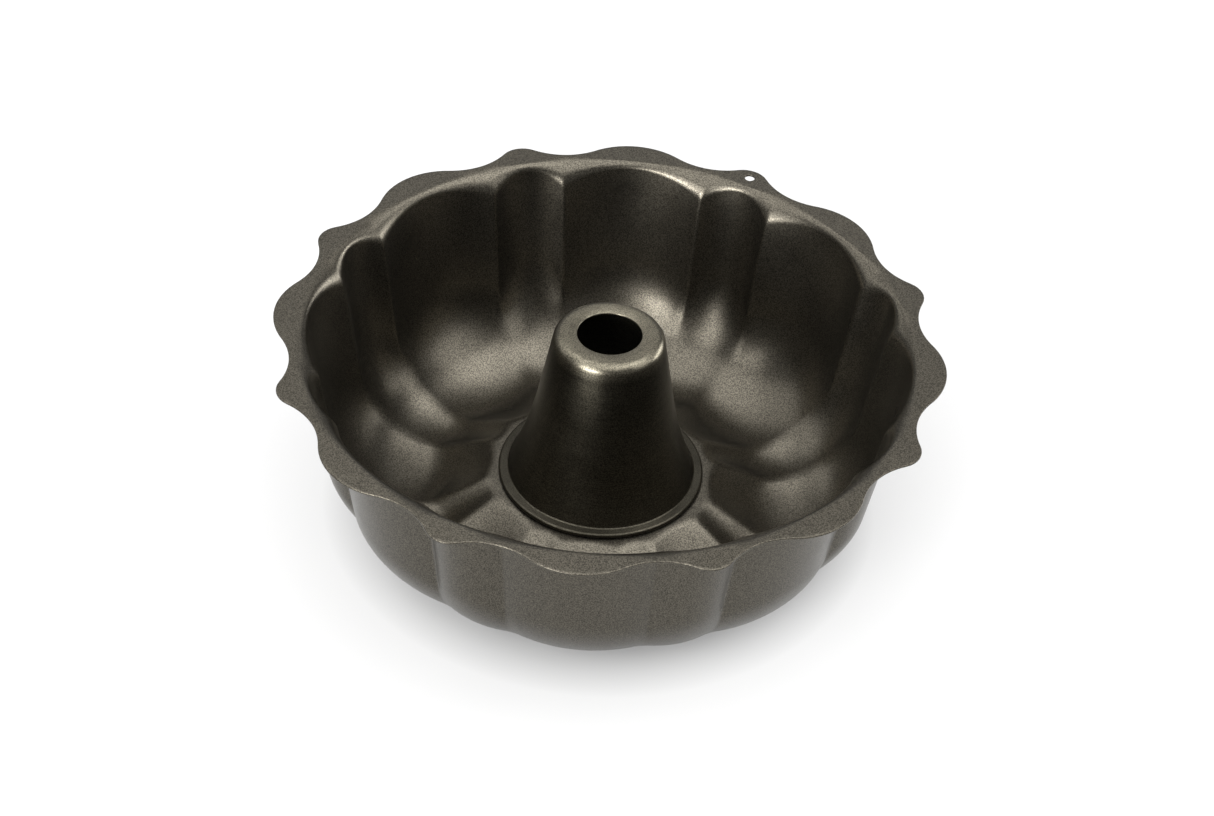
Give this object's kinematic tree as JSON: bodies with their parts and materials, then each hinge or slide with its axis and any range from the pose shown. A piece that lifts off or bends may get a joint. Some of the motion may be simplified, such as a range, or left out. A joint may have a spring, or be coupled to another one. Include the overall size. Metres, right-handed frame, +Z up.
{
  "type": "bundt pan",
  "caption": "Round fluted tube pan for ring cakes: a scalloped flat rim with a hanging hole, alternating wide and narrow flutes, and a hollow centre cone.",
  "frame": {"origin": "on the table under the middle of the pan", "axes": "+Z up along the axis of the cone, +Y towards the hanging hole"},
  "size_m": [0.2574, 0.2574, 0.0835],
  "materials": {
    "pan_coating": "satin grey-brown metallic non-stick coat with a fine sparkle",
    "cone_coating": "satin grey-brown metallic non-stick coat over fine turning lines"
  },
  "bodies": {
    "root": {"pan_body": "pan_coating", "centre_cone": "cone_coating"}
  },
  "joints": []
}
